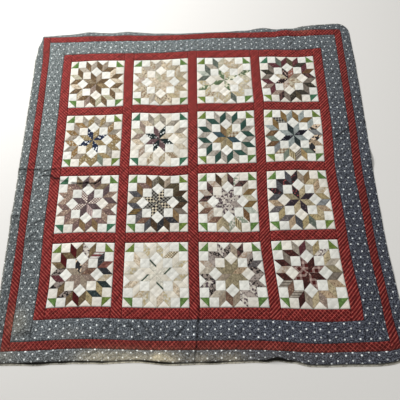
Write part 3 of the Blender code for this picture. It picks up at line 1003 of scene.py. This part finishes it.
# %% The chart of the sixteen blocks
CHART = {
    (1, 1): ("taupe golden_brown mauve_taupe olive_brown / brown",
             "brown / taupe pale_peach pale_peach pale_tan pale_sage pale_sage mauve_taupe"
             " pale_tan pale_peach pale_sage pale_grey pale_grey", "leaf"),
    (1, 2): ("pale_tan pale_peach / pale_tan pale_peach pale_peach pale_sage",
             "tan_specks pale_tan tan_check pale_tan tan_check khaki tan_specks khaki pale_tan"
             " khaki tan_specks tan_floral tan_specks pale_grey tan_floral tan_floral tan_specks"
             " pale_tan pale_pink tan_floral tan_specks pale_grey tan_floral pale_grey",
             "leaf"),
    (1, 3): ("cream_print cream cream cream / cream_leaf",
             "pale_tan pale_tan pale_tan cream cream_leaf pale_sage cream_print pale_tan"
             " cream_print cream_print slate_green cream_print pale_tan cream_print tan_floral"
             " cream_print cream_leaf cream_print slate_green blue_white slate_green pale_grey"
             " slate_green pale_sage", "olive leaf leaf olive"),
    (1, 4): ("red_pink taupe tan_floral tan_floral pale_pink black_specks pale_tan black_specks",
             "dark_olive burgundy black_olive burgundy rust burgundy_black grey_taupe black_olive"
             " grey_taupe black_olive dark_olive black_olive grey_taupe burgundy_black"
             " mauve_taupe burgundy mauve_taupe burgundy grey_taupe black_olive grey_taupe"
             " burgundy slate_green burgundy", "teal leaf teal olive"),
    (2, 1): ("gold_rust navy_white",
             "grey gold_rust grey rust_specks grey rust_specks gold_rust gold_rust grey gold_rust"
             " teal_grey gold_rust gold_rust gold_rust pink_grey rust_specks grey rust_specks"
             " pink_grey rust_specks pink_grey rust_specks grey gold_rust",
             "leaf olive olive leaf"),
    (2, 2): ("black_teal / pale_tan mauve_black mauve_black mauve_black",
             "grey cream grey cream grey pale_tan cream pale_tan cream tan_floral cream pale_tan"
             " cream tan_floral cream pale_pink cream pale_peach mauve_taupe pale_sage"
             " mauve_taupe pale_peach grey pale_sage", "teal"),
    (2, 3): ("gold_khaki rust_plaid navy_steel gold_khaki gold_olive orange_gold navy_steel"
             " ochre_brown",
             "pink_beige dark_green", "olive olive leaf olive"),
    (2, 4): ("light_blue_grey / navy_specks dark_slate",
             "ochre light_blue_grey ochre light_blue_grey black_tan slate_grey black_tan tan"
             " black_tan teal_grey orange_gold grey_stripe tan_stripe grey_green rust_plaid"
             " slate_grey rust grey_green rust light_blue_grey ochre slate_check ochre"
             " light_blue_grey", "olive olive leaf olive"),
    (3, 1): ("dark_mauve / pink_check mauve_stripe pink_check pink_check",
             "mauve_tan mauve olive_brown dark_mauve mauve_tan dark_mauve mauve_tan mauve"
             " mauve_tan mauve ochre_brown mauve ochre_brown mauve mauve_tan mauve mauve_tan"
             " mauve mauve_tan mauve_tan mauve_tan mauve olive_brown dark_mauve",
             "teal leaf teal teal"),
    (3, 2): ("black_check slate_check",
             "dark_olive taupe dark_olive dark_olive dark_brown black_olive dark_brown grey_taupe"
             " ochre_brown navy dark_brown navy dark_brown slate_blue maroon_brown slate_plum"
             " olive_stripe slate_blue olive_brown slate_blue ochre_brown mauve rust line_check",
             "leaf olive olive leaf"),
    (3, 3): ("pale_lilac lilac pale_lilac pale_lilac / pale_lilac",
             "burgundy_black white_sprig burgundy_black pale_grey ochre pale_sage ochre"
             " blue_white rust white_sprig tan_stripe white_sprig gold_olive khaki maroon_brown"
             " pale_pink maroon_brown pale_pink burgundy_black pale_pink burgundy_black pale_pink"
             " dark_brown pale_tan", "leaf"),
    (3, 4): ("khaki plum khaki plum khaki plum gold_olive plum_red",
             "taupe ochre_brown khaki tan pale_tan gold_khaki slate_grey tan khaki gold_khaki"
             " slate_green gold_khaki slate_blue tan slate_plum gold_khaki slate_plum tan"
             " slate_blue plum_red slate_blue plum_red slate_blue plum_red",
             "leaf leaf olive leaf"),
    (4, 1): ("mauve_taupe maroon_brown mauve_taupe taupe mauve_taupe mauve_taupe taupe black_tan",
             "pale_lilac olive red_stripe navy brick navy pale_tan dark_slate gold_khaki"
             " dark_slate gold_khaki olive maroon olive black_lilac olive black_lilac burgundy"
             " black_lilac olive maroon olive maroon olive", "olive olive olive leaf"),
    (4, 2): ("cream green_slivers",
             "cream_print cream tan_check cream cream_print cream cream_print cream pale_peach"
             " cream cream_print pale_peach cream cream_print pale_tan cream pale_peach cream"
             " cream_print cream pale_peach cream cream_print cream",
             "olive leaf leaf leaf"),
    (4, 3): ("gold_olive / tan gold_olive taupe gold_olive",
             "taupe burgundy_black pale_pink black_lilac slate_plum black_lilac lilac black_lilac"
             " pale_lilac lilac pale_lilac taupe maroon_brown taupe pale_grey black_lilac"
             " pale_lilac black_lilac pale_grey pale_pink lilac black_lilac pale_lilac"
             " black_lilac", "leaf"),
    (4, 4): ("dark_maroon dark_maroon dark_maroon red_plaid / red_plaid",
             "grey gold_khaki pale_lilac khaki pale_grey gold_olive grey_taupe tan khaki tan"
             " mauve_taupe khaki pink_grey dark_maroon grey_stripe maroon_brown grey_stripe"
             " dark_maroon pale_pink dark_maroon grey_taupe dark_maroon grey burgundy",
             "leaf olive leaf leaf"),
}
print("blocks charted:", len(CHART))

# %% [markdown]
# A block's mesh is the drafted one, moved to its place. Each patch has its cloth laid along its own
# side, shifted from one patch to the next so that no two cuts show the same bit of print. A seeded
# draw makes some cuts a touch lighter or darker, and picks white or ivory muslin for the background.

# %% Star blocks
BACKGROUNDS = {"notch": ("white", "white", "white", "ivory"), "outer": ("white", "ivory", "white"),
               "edge": ("ivory", "ivory", "white"), "cap": ("ivory", "white")}
TONE_RANGE = (0.93, 1.05)
UV_SHIFT = 0.137  # moves the print along by an odd length from one patch to the next


def in_places(words, count):
    """The chart's scraps for a number of places; a slash parts the even places from the odd."""
    parts = [part.split() for part in words.split("/")]
    turns = [parts[n % len(parts)] for n in range(count)]
    return [names[n // len(parts) % len(names)] for n, names in enumerate(turns)]


def block_cloths(row, column, draw):
    """The scrap's name for every patch of a block; the background is drawn from the muslins."""
    star, ring, corner = CHART[row, column]
    charted = {"star": in_places(star, 8), "ring": in_places(ring, 24),
               "corner": [f"{green}_green" for green in in_places(corner, 4)]}
    names = []
    for key, *_ in PATCHES:
        shape, number = key.split()
        if shape in BACKGROUNDS:
            names.append(BACKGROUNDS[shape][draw.integers(len(BACKGROUNDS[shape]))])
        else:
            names.append(charted[shape][int(number)])
    return names


def patch_uv(owners, spots, centre):
    """Cloth places: along and across the first side of the patch that each corner belongs to."""
    corners = np.array([patch[1] for patch in PATCHES])[owners]
    sides = np.array([patch[2] for patch in PATCHES])[owners] / PATCH_SIDE
    offset = spots - centre - corners
    along = (offset * sides).sum(axis=1)
    across = offset[:, 1] * sides[:, 0] - offset[:, 0] * sides[:, 1]
    return np.stack([along, across], axis=1) + owners[:, None] * UV_SHIFT


def add_block(row, column):
    """One star block, with every patch in its charted cloth."""
    draw = np.random.default_rng(SEED + 10 * row + column)
    strips = (block_strip(column), block_strip(BLOCKS_ACROSS + 1 - row))
    centre = np.array([(LINES[STARTS[strip]] + LINES[STARTS[strip + 1]]) / 2 for strip in strips])
    plan = centre + BLOCK_POINTS * (1 - SEAM_GAP / BLOCK)
    node = f"star_block_r{row}c{column}"

    def cloth_uv(faces, spots):
        return patch_uv(BLOCK_OWNERS[faces], spots, centre)

    mesh = sew(node, "block", plan, BLOCK_FACES, BLOCK_SEAMS, cloth_uv)
    names = block_cloths(row, column, draw)
    order = sorted(set(names))
    for name in order:
        mesh.materials.append(scrap_cloths[name])
    numbers = np.array([order.index(name) for name in names])
    tones = draw.uniform(*TONE_RANGE, len(PATCHES))
    rims = len(mesh.polygons) - 2 * len(BLOCK_FACES)
    owners = np.concatenate([BLOCK_OWNERS, BLOCK_OWNERS, np.zeros(rims, int)])
    mesh.polygons.foreach_set("material_index", numbers[owners])
    keep(mesh, "tone", tones[owners], "FACE")
    place_panel(node, mesh)
    return len(order)


for row in range(1, BLOCKS_ACROSS + 1):
    counts = [add_block(row, column) for column in range(1, BLOCKS_ACROSS + 1)]
    print("row", row, "prints in each block:", counts)

# %% [markdown]
# The sashes and borders follow. The blue cloth is laid along its strip, so the dotted print turns with
# each side, and most border strips are a little lighter or darker than the sashes. The outer border
# was cut as wide as its panel, but its edge is turned under unevenly, so the flat area that is left
# is worked out from the width that shows.

# %% Sashes and borders
STRIP_TONES = {
    "outer_border_left": 0.81, "outer_border_right": 0.92,
    "inner_border_left": 0.94, "inner_border_right": 0.93, "inner_border_near": 1.07,
    "red_border_left": 0.87, "red_border_right": 0.80,
    "red_border_near": 0.83, "red_border_far": 0.96,
}
WIDTH_SAMPLES = 500


def add_strip(node, kind, columns, levels, cloth, turned=False):
    """One panel of yardage; turned lays its cloth up the quilt and not across it."""
    plan, faces = strip_mesh(columns, levels)

    def cloth_uv(_, spots):
        return spots[:, ::-1] if turned else spots

    mesh = sew(node, kind, plan, faces, np.zeros(len(plan)), cloth_uv)
    mesh.materials.append(cloth)
    keep(mesh, "tone", np.full(len(mesh.polygons), STRIP_TONES.get(node, 1.0)), "FACE")
    if kind == "outer":
        places = np.linspace(-HALF, HALF, WIDTH_SAMPLES)
        shown = shown_width(node.rsplit("_", 1)[1], places).mean()
    place_panel(node, mesh)


for number in range(1, BLOCKS_ACROSS + 2):
    strip = sash_strip(number)
    rows_of_dots = "falling" if number <= 3 else "rising"
    add_strip(f"long_sash_{number}", "sash", (strip, strip), (FIRST_SASH, LAST_SASH),
              red_cloths[rows_of_dots])
for column in range(1, BLOCKS_ACROSS + 1):
    for row in range(1, BLOCKS_ACROSS + 2):
        strip, level = block_strip(column), sash_strip(BLOCKS_ACROSS + 2 - row)
        add_strip(f"short_sash_r{row}c{column}", "sash", (strip, strip), (level, level),
                  red_cloths["crossed"])
for low, kind in enumerate(("outer", "red", "inner")):
    high = LAST_STRIP - low
    sides = {
        "left": ((low, low), (low, high), "falling"),
        "right": ((high, high), (low, high), "rising"),
        "near": ((low + 1, high - 1), (low, low), "crossed"),
        "far": ((low + 1, high - 1), (high, high), "crossed"),
    }
    for side, (columns, levels, red_rows) in sides.items():
        node = f"{kind}_border_{side}"
        if kind == "red":
            add_strip(node, kind, columns, levels, red_cloths[red_rows])
        else:
            add_strip(node, kind, columns, levels, blue_cloth,
                      turned=side in ("left", "right"))

# %% [markdown]
# The backing is one pale sheet under it all. It follows the outline of the top, hidden a little way
# in on three sides. Along the near edge, where the top has shrunk back, it shows as a thin lip. The
# lip carries a painted shade at half strength, and the gap behind it, under the edge of the top, a
# painted shadow that is darkest where the top lifts.

# %% Backing
BACKING_THICK = 1.0 * MM
BACKING_SHOWS = 11.0 * MM
SHOWS_BY_LIFT = 0.5
BACKING_TUCK = 2.0 * MM
BACKING_STEPS = 2
EDGE_STATIONS = np.array((3.6, 5.0, 9.0, 14.0)) * MM
# painted shade on the lip and painted shadow in the gap, as shares of the deepest painted shade
LIP_PAINTED_SHADE = 0.5
GAP_PAINTED_SHADOW = (0.85, 1.0)
GAP_LIFT = 4.0 * MM


def backing_stations():
    """Mesh lines of the backing: every quilting cell cut in two, and finer beside the edges."""
    inner = [low + (high - low) * n / BACKING_STEPS for low, high in zip(LINES, LINES[1:])
             for n in range(BACKING_STEPS)]
    fine = [side * (HALF - place) for side in (-1, 1) for place in EDGE_STATIONS]
    return np.array(sorted(inner + fine + [HALF]))


def add_backing():
    """The muslin under the top, closed and flat."""
    plan, faces = grid(backing_stations(), backing_stations())
    plan_x, plan_y = plan.T
    x, y = lie(plan_x, plan_y)
    out_x, out_y = np.clip((np.abs(plan.T) - RED_EDGE) / (HALF - RED_EDGE), 0, 1)
    x -= np.sign(plan_x) * BACKING_TUCK * out_x
    shows = BACKING_SHOWS + SHOWS_BY_LIFT * lift(x, y)
    y -= np.where(plan_y < 0, shows, BACKING_TUCK) * out_y
    # painted shadow in the gap under the top's near edge, darkest where the top lifts; half shade on
    # the lip
    gap = np.interp(lift(x, y), (0, GAP_LIFT), GAP_PAINTED_SHADOW)
    in_lip = HALF + plan_y < EDGE_STATIONS[:2].mean()
    dark = np.where(in_lip, LIP_PAINTED_SHADE, gap) * (plan_y < -RED_EDGE)
    flat = np.zeros(len(plan))
    stored_marks = {"seam": flat, "painted_shade": np.concatenate([dark, flat]), "stain": stain(x, y)}
    mesh = closed_cloth("backing", "backing", plan, faces, (flat + BACKING_THICK, flat), (x, y),
                        lambda _, spots: spots, stored_marks)
    keep(mesh, "tone", np.ones(len(mesh.polygons)), "FACE")
    mesh.materials.append(backing_cloth)
    place_panel("backing", mesh)


add_backing()
print("backing shows", BACKING_SHOWS / MM, "mm past the near edge")

# %% [markdown]
# A pale studio floor and soft light finish the scene. One large, soft lamp stands off the far left,
# low enough to rake over the puffs. A weak one at the near right and a pale sky fill the shadows.

# %% Floor and light
FLOOR_SIZE = 9.0
FLOOR_DROP = 0.2 * MM
FLOOR_COLOUR = "dcdad6"
FLOOR_ROUGHNESS = 0.8
LAMPS = {  # place and size in metres, power in watts
    "key_lamp": ((-3.0, 3.2, 2.7), 1.4, 376),
    "fill_lamp": ((2.0, -1.5, 3.0), 2.5, 30),
}
SKY_COLOUR = "f2f2f0"
SKY_STRENGTH = 0.27

bpy.ops.mesh.primitive_plane_add(size=FLOOR_SIZE, location=(0, 0, -FLOOR_DROP))
floor = bpy.context.object
floor.name = "studio_floor"
floor_paint = bpy.data.materials.new("matt_floor_paint")
floor_paint.use_nodes = True
floor_shader = floor_paint.node_tree.nodes["Principled BSDF"].inputs
floor_shader["Base Color"].default_value = linear(FLOOR_COLOUR)
floor_shader["Roughness"].default_value = FLOOR_ROUGHNESS
floor.data.materials.append(floor_paint)

for name, (place, size, watts) in LAMPS.items():
    light = bpy.data.lights.new(name, "AREA")
    light.size = size
    light.energy = watts
    lamp = bpy.data.objects.new(name, light)
    lamp.location = place
    lamp.rotation_euler = (-Vector(place)).to_track_quat("-Z", "Y").to_euler()
    bpy.context.scene.collection.objects.link(lamp)
sky = bpy.data.worlds.new("studio_sky")
sky.use_nodes = True
background = sky.node_tree.nodes["Background"].inputs
background["Color"].default_value = linear(SKY_COLOUR)
background["Strength"].default_value = SKY_STRENGTH
bpy.context.scene.world = sky
bpy.context.scene.view_settings.view_transform = "Standard"
print("lamps:", sorted(LAMPS))
